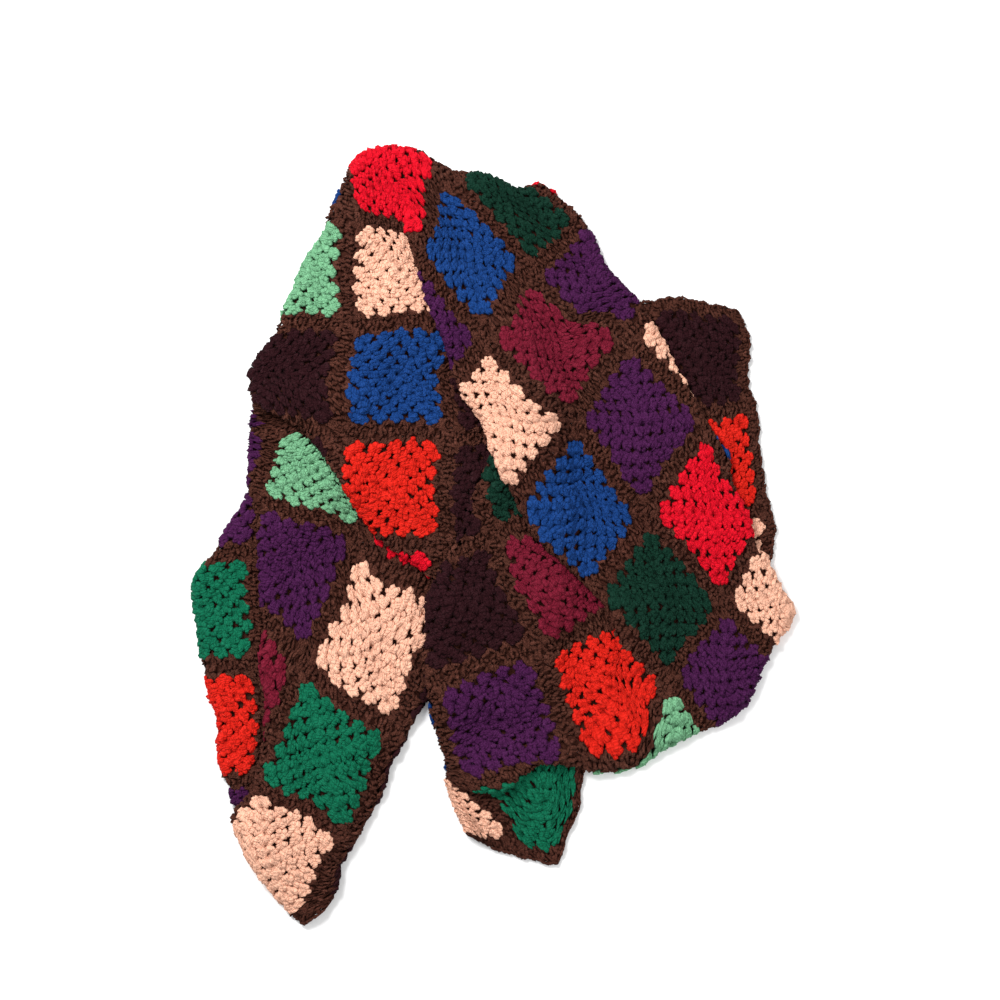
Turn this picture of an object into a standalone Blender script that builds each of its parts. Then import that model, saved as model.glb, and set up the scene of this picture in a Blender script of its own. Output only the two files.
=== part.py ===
"""Granny square blanket lying in a loose heap of folds.

One crocheted sheet, nine squares wide and ten long, is folded along creases.
A square with its brown joins is 127 mm.
Every crease corner has its place in the flat cloth, counted in squares, and
its place in the heap.  Between the corners the cloth is carried over flat,
panel by panel; then the panels settle on each other in their order.
"""
import bpy
import numpy as np
from mathutils import Vector
from mathutils.geometry import delaunay_2d_cdt

THICKNESS = 0.004      # crocheted cloth
LAYER = 0.0085         # height that one layer adds to the heap
FINE = 20              # samples per square while the folds are worked out
COARSE = 4             # every fourth sample becomes a vertex
FOLD_ROUND = 1.0       # rounding of a fold, in fine samples
FIRST_COLUMN, LAST_COLUMN = -3.5, 5.5
FIRST_ROW, LAST_ROW = -2.5, 7.5
HEAP_MIDDLE = (-0.0017, 0.0008)   # middle of the heap's own box, moved to the origin
CELL = 0.006           # cell of the map on which the layers settle
SPREAD = 3             # cells by which a layer props up what passes its edge

# corner, column and row in the flat cloth, x and y in the heap
CORNERS = (
    ("TL", -3.5, -2.5, -0.050, 0.000),
    ("TA", -1.6, -2.5, -0.168, 0.155),
    ("TB", 0.5, -2.5, -0.111, 0.217),
    ("TC", 2.6, -2.5, 0.002, 0.243),
    ("TD", 4.45, -2.5, 0.170, 0.270),
    ("TE", 5.25, -2.5, 0.258, 0.268),
    ("TR", 5.5, -2.5, 0.281, 0.258),
    ("RZ", 5.5, -2.25, 0.290, 0.235),
    ("RA", 5.5, -1.5, 0.297, 0.155),
    ("RB", 5.5, -0.3, 0.320, 0.007),
    ("RV", 5.5, 0.25, 0.319, -0.058),
    ("RC", 5.5, 0.9, 0.276, -0.149),
    ("RD", 5.5, 1.8, 0.192, -0.204),
    ("RE", 5.5, 2.35, 0.115, -0.242),
    ("RF", 5.5, 3.1, 0.077, -0.376),
    ("RG", 5.5, 3.8, -0.003, -0.358),
    ("RH", 5.5, 4.4, -0.029, -0.342),
    ("BR", 5.5, 7.5, 0.210, -0.100),
    ("BM", 3.3, 7.5, 0.190, 0.140),
    ("BN", 1.6, 7.5, -0.120, 0.030),
    ("BT", 0.62, 7.5, -0.187, -0.426),
    ("BS", 0.45, 7.5, -0.219, -0.446),
    ("BV", -1.6, 7.5, -0.210, -0.380),
    ("BC", -2.8, 7.5, -0.255, -0.367),
    ("BL", -3.5, 7.5, -0.232, -0.350),
    ("LD", -3.5, 6.6, -0.251, -0.282),
    ("LC", -3.5, 5.5, -0.262, -0.146),
    ("LB", -3.5, 4.7, -0.266, -0.049),
    ("LA", -3.5, 3.45, -0.168, 0.066),
    ("L2", -3.5, 2.4, -0.045, 0.045),
    ("L1", -3.5, 0.5, 0.055, 0.100),
    ("L0", -3.5, -0.74, 0.076, 0.155),
    ("T0", -0.45, -0.05, -0.162, 0.420),
    ("S1", -0.56, 0.2, -0.170, 0.404),
    ("S2", -0.8, 0.73, -0.202, 0.336),
    ("S3", -1.05, 1.18, -0.230, 0.280),
    ("S4", -1.18, 1.54, -0.253, 0.234),
    ("S5", -1.42, 1.96, -0.277, 0.189),
    ("S6", -1.45, 2.3, -0.276, 0.155),
    ("S7", -1.58, 2.85, -0.277, 0.141),
    ("S8", -1.7, 3.5, -0.278, 0.123),
    ("S9", -1.7, 4.05, -0.278, 0.096),
    ("M0", -1.62, 4.42, -0.279, 0.058),
    ("M1", -1.41, 4.96, -0.269, -0.004),
    ("M2", -1.25, 5.24, -0.266, -0.049),
    ("M3", -0.98, 5.66, -0.266, -0.117),
    ("M4", -0.67, 5.9, -0.262, -0.185),
    ("M5", -0.57, 6.12, -0.262, -0.223),
    ("M6", -0.46, 6.5, -0.269, -0.282),
    ("M7", -0.49, 6.9, -0.302, -0.318),
    ("M8", -0.07, 7.19, -0.270, -0.380),
    ("M9", 0.3, 7.34, -0.238, -0.424),
    ("T1", -0.28, -0.25, -0.149, 0.442),
    ("T2", 0.0, -0.33, -0.121, 0.448),
    ("T3", 0.22, -0.34, -0.094, 0.439),
    ("T4", 0.42, -0.42, -0.068, 0.419),
    ("T5", 0.65, -0.75, -0.015, 0.409),
    ("T6", 0.85, -1.25, 0.025, 0.397),
    ("T7", 1.0, -1.65, 0.062, 0.408),
    ("T8", 1.3, -1.55, 0.083, 0.387),
    ("T9", 1.97, -1.23, 0.133, 0.308),
    ("X0", 2.41, -0.83, 0.167, 0.272),
    ("X1", 3.38, -0.55, 0.235, 0.149),
    ("XB", 3.9, -0.65, 0.272, 0.094),
    ("X2", 4.46, -0.16, 0.299, -0.004),
    ("X3", 4.72, -0.15, 0.324, -0.024),
    ("X4", 5.1, 0.03, 0.345, -0.070),
    ("X5", 5.16, 0.12, 0.346, -0.095),
    ("X6", 5.12, 0.44, 0.321, -0.131),
    ("X7", 5.23, 0.87, 0.303, -0.174),
    ("X8", 5.19, 1.18, 0.280, -0.202),
    ("X9", 4.98, 1.61, 0.235, -0.225),
    ("Y0", 4.83, 1.86, 0.206, -0.239),
    ("Y1", 4.54, 1.98, 0.178, -0.260),
    ("Y2", 4.5, 2.3, 0.125, -0.270),
    ("Y3", 4.5, 2.45, 0.108, -0.270),
    ("Y4", 4.44, 2.71, 0.062, -0.256),
    ("Y5", 4.62, 3.18, 0.014, -0.295),
    ("Y6", 4.66, 3.62, -0.046, -0.282),
    ("N1", 0.64, 5.15, -0.078, -0.188),
    ("K1", 0.62, 5.8, -0.117, -0.270),
    ("K2", 0.57, 6.37, -0.151, -0.338),
    ("K3", 0.6, 6.85, -0.177, -0.387),
    ("QQ", 1.42, 1.95, 0.048, 0.172),
    ("G1", 2.01, 2.45, -0.015, 0.064),
    ("G2", 2.43, 2.86, -0.043, -0.004),
    ("G3", 2.84, 3.31, -0.078, -0.072),
    ("G4", 3.25, 3.46, -0.079, -0.134),
    ("N2", 3.67, 3.56, -0.075, -0.194),
    ("G5", 4.23, 3.52, -0.052, -0.259),
    ("V1", 1.45, 2.7, 0.062, 0.089),
    ("V2", 1.54, 3.15, 0.068, 0.032),
    ("V3", 1.57, 3.86, 0.071, -0.058),
    ("V4", 2.15, 4.4, 0.059, -0.172),
    ("P0", 0.25, 0.42, -0.102, 0.353),
    ("D1", 1.44, 1.02, -0.043, 0.187),
    ("D2", 2.2, 1.35, 0.006, 0.084),
    ("D3", 2.5, 1.45, 0.023, 0.039),
    ("D4", 2.75, 1.47, 0.044, 0.005),
    ("D5", 3.64, 1.45, 0.127, -0.078),
    ("P1", 3.95, 1.62, 0.150, -0.129),
    ("W1", 0.98, 1.5, 0.017, 0.247),
    ("W2", 2.58, 1.8, 0.074, 0.013),
    ("W3", 3.5, 1.56, 0.144, -0.086),
    ("KL", -1.38, 2.4, -0.261, 0.153),
    ("B2", -0.67, 2.63, -0.198, 0.100),
    ("B3", -0.1, 3.45, -0.134, -0.004),
    ("B4", 0.43, 3.78, -0.071, -0.045),
    ("PB", 0.62, 4.3, -0.052, -0.086),
    ("C1", -0.9, 3.2, -0.149, 0.153),
    ("C2", -0.22, 4.05, -0.102, 0.038),
    ("C3", 0.37, 4.36, -0.054, -0.039),
    ("K5", -2.35, 3.45, -0.248, 0.109),
    ("E1", -2.6, 3.9, -0.279, 0.053),
    ("E2", -2.85, 4.4, -0.315, -0.010),
    ("E3", -3.05, 4.7, -0.344, -0.049),
    ("E4", -3.07, 4.95, -0.347, -0.074),
    ("E5", -3.0, 5.5, -0.332, -0.151),
    ("E6", -2.9, 6.1, -0.315, -0.231),
    ("E7", -2.8, 6.6, -0.303, -0.297),
    ("A1v", -1.95, 4.6, -0.205, -0.027),
    ("A2v", -1.85, 5.0, -0.191, -0.072),
    ("A3v", -1.6, 5.8, -0.153, -0.191),
    ("A4v", -1.54, 6.1, -0.151, -0.236),
    ("A5v", -1.5, 6.6, -0.174, -0.293),
    ("H1", 3.43, -1.7, 0.051, 0.153),
    ("H2", 4.12, -1.05, 0.147, 0.077),
    ("H3", 4.85, -0.22, 0.248, -0.018),
    ("J1", 4.78, 3.18, 0.011, -0.273),
    ("J2", 4.65, 2.75, 0.057, -0.231),
    ("a00", 0, 0, -0.121, 0.409),
    ("a01", 0, 1, -0.105, 0.302),
    ("am2", -1, 2, -0.238, 0.190),
    ("a02", 0, 2, -0.108, 0.183),
    ("a03", 0, 3, -0.119, 0.053),
    ("a13", 1, 3, 0.008, 0.050),
    ("b10", 1, 0, -0.035, 0.327),
    ("b21", 2, -1, 0.121, 0.282),
    ("b20", 2, 0, 0.068, 0.211),
    ("b30", 3, 0, 0.167, 0.130),
    ("b40", 4, 0, 0.248, 0.024),
    ("b50", 5, 0, 0.328, -0.070),
    ("b2", 2, 1, 0.008, 0.134),
    ("b31", 3, 1, 0.099, 0.030),
    ("b41", 4, 1, 0.195, -0.072),
    ("b51", 5, 1, 0.274, -0.165),
    ("f32", 3, 2, 0.074, -0.044),
    ("f33", 3, 3, -0.032, -0.081),
    ("f42", 4, 2, 0.138, -0.174),
    ("f43", 4, 3, 0.005, -0.210),
    ("am4", -1, 4, -0.200, 0.074),
    ("am5", -1, 5, -0.228, -0.030),
    ("a05", 0, 5, -0.139, -0.126),
    ("a06", 0, 6, -0.194, -0.253),
    ("a07", 0, 7, -0.256, -0.363),
    ("e3", 5, 3, 0.062, -0.312),
    ("d2", 5, -2, 0.244, 0.209),
    ("d1", 5, -1, 0.260, 0.080),
    ("c5", -2, 5, -0.212, -0.079),
    ("c6", -2, 6, -0.201, -0.213),
    ("EM", 5.0, 4.12, -0.041, -0.308),
)

# creases and edges of the cloth, each a run of corners
CREASES = (
    "TL TA TB TC TD TE TR RZ RA RB RV RC RD RE RF RG RH BR BM BN BT BS BV BC BL LD LC LB LA L2 L1 L0 TL",
    "T0 S1 S2 S3 S4 S5 S6 S7 S8 S9 M0 M1 M2 M3 M4 M5 M6 M7 M8 M9 BS",
    "T0 T1 T2 T3 T4 T5 T6 T7 T8 T9 X0 X1 XB X2 X3 X4 X5 X6 X7 X8 X9 Y0 Y1 Y2 Y3 Y4 Y5 Y6",
    "N1 K1 K2 K3 BT",
    "N1 V4",
    "QQ G1 G2 G3 G4 N2 G5 Y6 EM RH",
    "QQ V1 V2 V3 V4",
    "P0 D1 D2 D3 D4 D5 P1",
    "P0 W1 QQ W2 W3 P1",
    "KL B2 B3 B4 PB",
    "KL C1 C2 C3 PB",
    "K5 E1 E2 E3 E4 E5 E6 E7 BC",
    "K5 A1v A2v A3v A4v A5v BV",
    "TC H1 H2 H3 RV",
    "Y6 J1 J2 RE",
    "T0 L0",
    "T0 TA",
)

# lines where two panels join without a crease but lie at different heights
SEAMS = ("PB V3", "P0 T4", "P1 Y0", "V4 N2", "KL S7", "K5 LA")

# lines that stay straight inside a panel
TIES = ("N1 BN", "N1 BM", "V4 BM", "V4 BR", "N2 BR", "G5 BR")

# panel, place in the pile from the bottom, a column and row inside it
PANELS = (
    ("turned under by the foot", -1, 3.0, 6.0),
    ("left flap turned under", 0, -3.3, 5.5),
    ("left flap", 1, -2.3, 5.5),
    ("far corner", 0, 4.8, -1.8),
    ("foot", 0, 5.1, 3.4),
    ("turned under at the top", 1, 1.0, -2.2),
    ("corner tuck", 2, -3.0, -2.0),
    ("turned under at the left", 3, -2.5, 1.0),
    ("leg", 4, 0.1, 5.0),
    ("tuck above the leg", 5, -0.78, 2.9),
    ("upper left", 6, -0.4, 1.5),
    ("tuck below the front", 7, 1.9, 2.9),
    ("front", 8, 4.0, 2.5),
    ("tuck below the right", 9, 1.3, 1.2),
    ("right", 10, 3.0, 0.3),
)


def triangles_of_cloth():
    """Split the flat cloth into triangles that no crease crosses.

    The crease corners are joined by a constrained Delaunay triangulation.
    Returns the corners' flat and heap places, and the triangles.
    """
    names = [row[0] for row in CORNERS]
    flat = [Vector(row[1:3]) for row in CORNERS]
    runs = [[names.index(name) for name in line.split()] for line in CREASES + SEAMS + TIES]
    edges = [pair for run in runs for pair in zip(run[:-1], run[1:])]
    found = delaunay_2d_cdt(flat, edges, [], 0, 1e-5)
    corners, sides, faces, source = found[0], found[1], found[2], found[3]
    order = [item[0] for item in source if item]
    heap = np.array([CORNERS[item][3:5] for item in order])
    place = {item: count for count, item in enumerate(order)}
    edges = edges[:-len(TIES)]
    barrier = {frozenset((place[a], place[b])) for a, b in edges}
    return np.array([tuple(v) for v in corners]), heap, [tuple(f) for f in faces], barrier


def inside(flat, face, column, row):
    """Weights of a face's three corners at a place, by areas."""
    (ax, ay), (bx, by), (cx, cy) = flat[list(face)]
    area = (bx - ax) * (cy - ay) - (by - ay) * (cx - ax)
    v = ((column - ax) * (cy - ay) - (row - ay) * (cx - ax)) / area
    w = ((bx - ax) * (row - ay) - (by - ay) * (column - ax)) / area
    return 1.0 - v - w, v, w


def panel_levels(flat, faces, barrier):
    """Give each triangle the pile place of its panel, spreading from the seeds."""
    beside = {}
    for count, face in enumerate(faces):
        for a, b in ((0, 1), (1, 2), (2, 0)):
            beside.setdefault(frozenset((face[a], face[b])), []).append(count)
    level = [None] * len(faces)
    for name, place, column, row in PANELS:
        start = [n for n, f in enumerate(faces) if min(inside(flat, f, column, row)) >= 0.0]
        waiting = start[:1]
        while waiting:
            here = waiting.pop()
            if level[here] is not None:
                continue
            level[here] = place
            face = faces[here]
            for a, b in ((0, 1), (1, 2), (2, 0)):
                side = frozenset((face[a], face[b]))
                if side not in barrier:
                    waiting += beside[side]
    return level


def blur(field, radius):
    """Gaussian blur of a grid; its ends are carried on straight."""
    reach = int(3 * radius) + 1
    steps = np.arange(-reach, reach + 1)
    weights = np.exp(-0.5 * (steps / radius) ** 2)
    weights /= weights.sum()
    for axis in (0, 1):
        moved = np.moveaxis(field, axis, 0)
        low = 2 * moved[:1] - moved[reach:0:-1]
        high = 2 * moved[-1:] - moved[-2:-reach - 2:-1]
        long = np.concatenate((low, moved, high))
        size = moved.shape[0]
        moved = sum(w * long[n:n + size] for n, w in enumerate(weights))
        field = np.moveaxis(moved, 0, axis)
    return field


def props(x, y, level, origin, shape):
    """For each pile place, a map of how much its panels hold up what lies over them.

    One where the panel is and close around it, falling softly to nothing.
    """
    column = ((x - origin[0]) / CELL).astype(int)
    row = ((y - origin[1]) / CELL).astype(int)
    maps = {}
    for place in sorted(set(level.ravel())):
        held = np.zeros(shape)
        chosen = level == place
        held[column[chosen], row[chosen]] = 1.0
        for _ in range(SPREAD):
            wide = held.copy()
            wide[1:] = np.maximum(wide[1:], held[:-1])
            wide[:-1] = np.maximum(wide[:-1], held[1:])
            wide[:, 1:] = np.maximum(wide[:, 1:], held[:, :-1])
            wide[:, :-1] = np.maximum(wide[:, :-1], held[:, 1:])
            held = wide
        maps[place] = np.clip(blur(held, SPREAD * 0.6), 0.0, 1.0)
    return maps


def settled_sheet():
    """Middle surface of the folded cloth on the fine grid of samples.

    Flat place to heap place by the triangles, height by adding up the layers
    below, then all three rounded together at the folds.
    """
    flat, heap, faces, barrier = triangles_of_cloth()
    levels = panel_levels(flat, faces, barrier)
    columns = np.linspace(FIRST_COLUMN, LAST_COLUMN, int(9 * FINE) + 1)
    rows = np.linspace(FIRST_ROW, LAST_ROW, int(10 * FINE) + 1)
    column, row = np.meshgrid(columns, rows, indexing="ij")
    x, y = np.zeros_like(column), np.zeros_like(column)
    level = np.zeros(column.shape, int)
    for face, place in zip(faces, levels):
        u, v, w = inside(flat, face, column, row)
        held = (u > -1e-9) & (v > -1e-9) & (w > -1e-9)
        (ax, ay), (bx, by), (cx, cy) = heap[list(face)]
        x[held] = (u * ax + v * bx + w * cx)[held]
        y[held] = (u * ay + v * by + w * cy)[held]
        level[held] = place
    margin = 12 * CELL
    origin = (x.min() - margin, y.min() - margin)
    shape = (int((x.max() - origin[0] + margin) / CELL), int((y.max() - origin[1] + margin) / CELL))
    maps = props(x, y, level, origin, shape)
    z = np.zeros_like(x)
    for place, held in maps.items():
        above = level > place
        z[above] += LAYER * lookup(held, x[above], y[above], origin)
    x, y, z = blur(x, FOLD_ROUND), blur(y, FOLD_ROUND), blur(z, FOLD_ROUND)
    return x - HEAP_MIDDLE[0], y - HEAP_MIDDLE[1], np.maximum(z, 0.0)


def lookup(field, x, y, origin):
    """Read a map at places between its cells, bilinear."""
    u, v = (x - origin[0]) / CELL - 0.5, (y - origin[1]) / CELL - 0.5
    i, j = np.floor(u).astype(int), np.floor(v).astype(int)
    s, t = u - i, v - j
    near = field[i, j] * (1 - t) + field[i, j + 1] * t
    far = field[i + 1, j] * (1 - t) + field[i + 1, j + 1] * t
    return near * (1 - s) + far * s


def upward(middle):
    """Unit normals of a grid of points, from its slopes both ways."""
    normal = np.cross(np.gradient(middle, axis=1), np.gradient(middle, axis=0))
    return normal / np.maximum(np.linalg.norm(normal, axis=2, keepdims=True), 1e-9)


def closed_sheet(name, middle, normal, thickness):
    """A closed solid: the middle surface moved half the thickness to each side."""
    face_side = (middle + normal * thickness / 2).reshape(-1, 3)
    back_side = (middle - normal * thickness / 2).reshape(-1, 3)
    wide, long = middle.shape[:2]
    index = np.arange(wide * long).reshape(wide, long)
    a, b, c, d = index[:-1, :-1], index[1:, :-1], index[1:, 1:], index[:-1, 1:]
    top = np.stack((a, d, c, b), axis=-1).reshape(-1, 4)
    bottom = top[:, ::-1] + wide * long
    rim = np.concatenate((index[:, 0], index[-1, 1:], index[-2::-1, -1], index[0, -2:0:-1]))
    after = np.roll(rim, -1)
    wall = np.stack((rim, after, after + wide * long, rim + wide * long), axis=-1)
    mesh = bpy.data.meshes.new(name)
    faces = np.concatenate((top, bottom, wall))
    mesh.from_pydata(np.concatenate((face_side, back_side)).tolist(), [], faces.tolist())
    mesh.update()
    return bpy.data.objects.new(name, mesh)


def yarn_material():
    """Dark brown wool, matt."""
    material = bpy.data.materials.new("brown_wool")
    material.use_nodes = True
    shader = material.node_tree.nodes["Principled BSDF"]
    shader.inputs["Base Color"].default_value = (0.05, 0.02, 0.01, 1.0)
    shader.inputs["Roughness"].default_value = 0.9
    shader.inputs["Metallic"].default_value = 0.0
    return material


for item in list(bpy.data.objects):
    bpy.data.objects.remove(item)

x, y, z = settled_sheet()
middle = np.stack((x, y, z + THICKNESS / 2), axis=-1)
some = (slice(None, None, COARSE), slice(None, None, COARSE))
blanket = closed_sheet("blanket", middle[some], upward(middle)[some], THICKNESS)
blanket.data.materials.append(yarn_material())
bpy.context.collection.objects.link(blanket)
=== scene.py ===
import bpy
import numpy as np
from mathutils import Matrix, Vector
from mathutils.geometry import delaunay_2d_cdt


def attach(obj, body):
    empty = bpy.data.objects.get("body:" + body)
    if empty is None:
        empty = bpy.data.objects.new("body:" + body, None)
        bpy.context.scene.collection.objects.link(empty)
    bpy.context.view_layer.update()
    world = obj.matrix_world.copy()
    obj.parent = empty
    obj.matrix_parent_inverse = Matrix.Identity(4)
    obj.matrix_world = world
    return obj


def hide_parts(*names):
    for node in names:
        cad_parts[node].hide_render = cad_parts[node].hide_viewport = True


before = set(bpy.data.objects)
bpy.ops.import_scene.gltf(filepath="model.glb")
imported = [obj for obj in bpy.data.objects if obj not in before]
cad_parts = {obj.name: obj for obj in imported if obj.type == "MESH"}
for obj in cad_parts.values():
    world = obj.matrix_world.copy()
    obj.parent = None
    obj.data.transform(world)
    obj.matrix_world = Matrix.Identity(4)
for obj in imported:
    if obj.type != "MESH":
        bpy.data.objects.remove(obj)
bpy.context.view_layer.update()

# ---------------------------------------------------------------- the cloth and its folds
# One crocheted cloth, nine squares wide and ten long, lies in a loose heap.  It is folded
# along creases; every crease corner has its place in the flat cloth, counted in squares,
# and its place in the heap.  The ground of the cloth is matt dark brown wool, set darker
# than the brown yarn as painted shade showing through the holes between the stitches.
PITCH = 0.127          # one square with its brown joins
CLOTH = 0.003          # ground of the cloth, under the stitches
MIDDLE_HEIGHT = 0.002  # height of the lowest layer's middle over the floor
LAYER = 0.0085         # height that one layer adds to the heap
FINE = 20              # samples per square while the folds are worked out
FOLD_ROUND = 1.0       # rounding of a fold, in fine samples
FIRST_COLUMN, LAST_COLUMN = -3.5, 5.5
FIRST_ROW, LAST_ROW = -2.5, 7.5
HEAP_MIDDLE = (-0.0017, 0.0008)   # middle of the heap's own box, moved to the origin
CELL = 0.006           # cell of the map on which the layers settle
SPREAD = 3             # cells by which a layer props up what passes its edge
SOFTNESS = 0.6         # softness of a prop's edge, as a share of its spread
MARGIN = 12            # cells left free round the heap on the map
FLOOR_GAP = 0.0003     # no yarn goes lower than this
SWELL = 0.0035         # soft swells of the whole heap, at its full height
DRIFT = 0.0022         # how far the lines of squares wander sideways

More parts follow.
